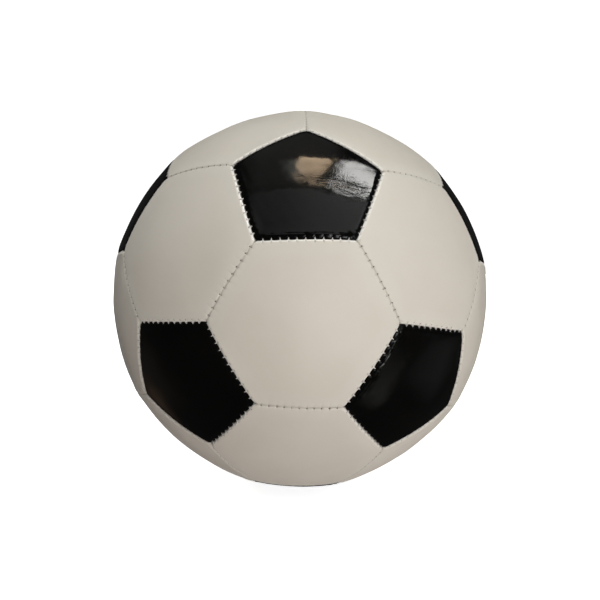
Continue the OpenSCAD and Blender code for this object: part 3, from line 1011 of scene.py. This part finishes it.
core = below_top(
    (0, 12), (0.85, 12), (1.05, 11.8), (1.05, 0.75), (1.12, 0.52), (1.34, 0.27), (1.6, 0.09), (1.9, 0.01),
    (2.5, 0), (3.15, 0), (3.42, 0.05), (3.56, 0.17), (3.6, 0.35), (3.6, 0.75), (3.55, 0.93), (3.4, 1),
    (3.19, 1.03))
for ring in (3.5, 5.5, 7.5, 9.5, 11.5, 13.5):
    for step, groove in ((-0.45, 0), (-0.3, 0.05), (-0.12, 0.2), (0.12, 0.2), (0.3, 0.05), (0.45, 0)):
        y = TOP - ring - step
        core.append((core_radius(y) - groove, y))
core += [(r, CORE_END + rise) for r, rise in ((2.5, 0.5), (2.42, 0.2), (2.2, 0.03), (1.8, 0), (0, 0))]
belongs(lathe("valve_plug", core, 96, CORE_RUBBER), "valve_core", body="core")

RING_TOP = LINING_END - LAYER_GAP
RING_HOLE, RING_R = 4.7, 16.0


def dome_height(r, z):
    return -HEX_DROP + math.sqrt((HEX_DOME + z)**2 - r**2)


ring = [(r, dome_height(r, RING_TOP)) for r in (4.9, 6.5, 8.5, 10.5, 12.5, 14.5, 15.8)]
ring += [(RING_R, dome_height(RING_R, RING_TOP - PATCH_T / 2))]
ring += [(r, dome_height(r, RING_TOP - PATCH_T)) for r in (15.8, 14.5, 12.5, 10.5, 8.5, 6.5, 4.9)]
ring += [(RING_HOLE, dome_height(RING_HOLE, RING_TOP - PATCH_T / 2))]
made = belongs(lathe("valve_hole_cloth", ring, 96, LINING), "valve_hole_ring")

# ---- stage, lights and camera

FLOOR_Z = min(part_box(f"hexagon_panel_{p.name}")[0].z for p in HEXAGONS)


def make_stage():
    """A pale round floor that curves up into a backdrop all round."""
    profile = [(0.4, 0.0), (1.2, 0.0), (2.2, 0.0)]
    profile += [(2.2 + 0.8 * math.sin(a), 0.8 - 0.8 * math.cos(a)) for a in np.linspace(0.1, math.pi / 2, 12)]
    profile += [(3.0, 5.0)]
    turn = np.arange(96) * (2 * math.pi / 96)
    rings = [np.stack([r * np.cos(turn), r * np.sin(turn), np.full(96, z + FLOOR_Z)], 1) for r, z in profile]
    loops = [np.arange(96) + i * 96 for i in range(len(rings))]
    quads, triangles = loft(loops, 96 * len(rings))
    points = np.concatenate(rings + [np.array([[0, 0, FLOOR_Z]])]) / MM
    paper = Nodes("floor_paper").done((0.9, 0.9, 0.9), 0.9, Emission_Color=(1, 1, 1), Emission_Strength=0.93)
    floor = make_mesh("floor", points, quads, triangles, paper)
    floor.visible_glossy = floor.visible_diffuse = floor.visible_shadow = False


make_stage()

world = bpy.data.worlds.new("studio")
bpy.context.scene.world = world
world.use_nodes = True
world.node_tree.nodes["Background"].inputs[0].default_value = (1.0, 0.99, 0.97, 1)
world.node_tree.nodes["Background"].inputs[1].default_value = 0.02


def aimed(name, data, towards, distance, across=(1, 0, 0)):
    """Puts a light or a card at a distance in a direction, facing the ball, with its X turned towards across."""
    z = unit(towards)
    x = unit(np.array(across, float) - (np.array(across, float) @ z) * z)
    obj = bpy.data.objects.new(name, data)
    turn = Matrix([x, np.cross(z, x), z]).transposed().to_4x4()
    obj.matrix_world = Matrix.Translation(Vector(z) * distance) @ turn
    bpy.context.scene.collection.objects.link(obj)
    return obj


# Wide soft lights all round, at one of three levels, in watts. Each has an azimuth, with 0 in front and 90 on the
# right, and an elevation, both in degrees.
KEY, FILL, RIM = 20, 10, 5
NEUTRAL, WARM = (1, 0.98, 0.97), (1, 0.92, 0.9)
SOFT_LIGHTS = {
    "front_low": (15, -20, KEY, WARM),
    "below": (30, -60, FILL, WARM),
    "left_low": (-120, -20, RIM, WARM),
    "right": (60, 20, FILL, NEUTRAL),
    "left_high": (-30, 50, FILL, NEUTRAL),
    "right_high": (35, 50, FILL, NEUTRAL),
    "left_back": (-120, 50, FILL, NEUTRAL),
    "ceiling": (0, 80, FILL, NEUTRAL),
    "behind": (170, 15, KEY, NEUTRAL),
    "behind_low": (150, -35, FILL, NEUTRAL),
    "right_low": (105, -45, RIM, NEUTRAL),
}
SOFT_DISTANCE, SOFT_SIZE = 2.0, 1.3
for name, (azimuth, elevation, power, colour) in SOFT_LIGHTS.items():
    a, e = math.radians(azimuth), math.radians(elevation)
    way = (math.sin(a) * math.cos(e), -math.cos(a) * math.cos(e), math.sin(e))
    light = bpy.data.lights.new(f"soft_{name}", "AREA")
    light.shape, light.size, light.energy, light.color = "SQUARE", SOFT_SIZE, power, colour
    aimed(light.name, light, way, SOFT_DISTANCE).visible_glossy = False


CARD_NOISE = 22


def glowing_card(name, towards, distance, width, height, low, high, soft_x, soft_y, colour=(1, 1, 1),
                 across=(1, 0, 0), ragged=0.0):
    """Card that shows only in reflections and adds to what is behind it. Its glow goes from low to high along its
    X, and fades out over a share of its edges. A ragged card has uneven edges."""
    me = bpy.data.meshes.new(name)
    w, h = width / 2, height / 2
    me.from_pydata([(-w, -h, 0), (w, -h, 0), (w, h, 0), (-w, h, 0)], [], [(0, 1, 2, 3)])
    n = Nodes(name)
    uneven = n.add("VectorMath", {0: n.noise(CARD_NOISE, 4, output=1), 1: (0.5, 0.5, 0.5)}, operation="SUBTRACT")
    shift = {0: uneven.outputs[0], 1: (ragged, ragged, 0), 2: n.place}
    place = n.add("SeparateXYZ", {0: n.add("VectorMath", shift, operation="MULTIPLY_ADD").outputs[0]}).outputs
    fades = [
        n.range(n.math("ABSOLUTE", place[axis]), half * (1 - soft), half, 1, 0, "SMOOTHSTEP")
        for axis, (half, soft) in enumerate(((w, soft_x), (h, soft_y)))]
    strength = n.math("MULTIPLY", n.range(place[0], -w, w, low, high), n.math("MULTIPLY", *fades))
    glow = n.add("Emission", {"Color": colour, "Strength": strength})
    me.materials.append(n.finish(n.add("AddShader", {
        0: glow.outputs[0], 1: n.add("BsdfTransparent").outputs[0]})))
    card = aimed(name, me, towards, distance, across)
    card.visible_camera = card.visible_diffuse = card.visible_shadow = False


# Ceiling lights, two pale panes in front and dimmer walls. Each card has a direction, a distance, a width and a
# height, its glow at both ends, and the share of its edges that fades along its X and its Y. Some have a colour, the
# way their X is turned, and a raggedness.
glowing_card("white_light", (0.376, -0.135, 0.93), 1.5, 0.36, 0.39, 12.0, 9.0, 0.2, 0.15, (1, 0.99, 0.96),
             (-0.3, 1, 0), 0.09)
glowing_card("warm_light", (0.066, -0.128, 0.993), 1.5, 0.4, 0.36, 3.0, 8.6, 0.35, 0.22, (1, 0.74, 0.49),
             (0.2, 1, 0), 0.08)
glowing_card("front_pane", (0.42, -0.9, 0.14), 1.7, 0.55, 0.4, 4.0, 4.0, 0.3, 0.3)
glowing_card("low_pane", (0.69, -0.66, -0.29), 1.7, 0.26, 0.55, 3.5, 3.5, 0.4, 0.3)
glowing_card("ceiling_card", (0.16, -0.5, 0.86), 1.6, 2.6, 0.72, 0.0, 0.95, 0.3, 0.25)
glowing_card("sky_card", (-0.08, 0.0, 1), 1.9, 1.5, 1.7, 0.16, 0.13, 0.5, 0.5, (1, 1, 0.95))
glowing_card("side_glow", (-0.075, -0.15, 0.98), 1.5, 0.3, 0.34, 0.3, 1.1, 0.9, 0.7, (0.95, 1, 0.88))
glowing_card("wall_card", (0.71, -0.42, -0.56), 1.6, 0.95, 0.62, 0.22, 0.04, 0.5, 0.6, (1, 1, 0.93), (0, 0, 1))
glowing_card("far_wall_card", (0.9, -0.02, -0.43), 1.6, 0.9, 1.1, 0.06, 0.08, 0.8, 0.8, (1, 1, 1), (0, 0, 1))
glowing_card("dark_wall", (-0.83, 0.2, -0.5), 1.6, 1.0, 1.0, 0.035, 0.035, 0.8, 0.8, (1, 0.8, 0.6), (0, 0, 1))
glowing_card("brown_card", (-0.7, 0.38, -0.6), 1.6, 0.75, 0.65, 0.11, 0.11, 0.95, 0.95, (1, 0.6, 0.35),
             (0, 0.6, 0.8))

# The camera stands in front of the ball, a little above it and to one side, and leans slightly. Angles in degrees.
CAMERA_DISTANCE = 3.655 * BALL_R * MM
CAMERA_ABOVE, CAMERA_LEAN, CAMERA_ASIDE, CAMERA_DIP = 6.3, 1.85, 0.57, 0.078
SENSOR, LENS = 36, 39.8


def turned(degrees, axis):
    return Matrix.Rotation(math.radians(degrees), 3, axis)


view = (turned(CAMERA_ABOVE, "X") @ turned(CAMERA_LEAN, "Y") @ turned(CAMERA_ASIDE, "Z")).transposed()
camera = bpy.data.objects.new("camera", bpy.data.cameras.new("camera"))
camera.data.sensor_width, camera.data.lens = SENSOR, LENS
camera.data.clip_start = 0.01
place = Matrix.Translation(view @ Vector((0, -CAMERA_DISTANCE, 0)))
camera.matrix_world = place @ (view @ turned(90 - CAMERA_DIP, "X")).to_4x4()
bpy.context.scene.collection.objects.link(camera)
bpy.context.scene.camera = camera
bpy.context.scene.view_settings.view_transform = "Standard"
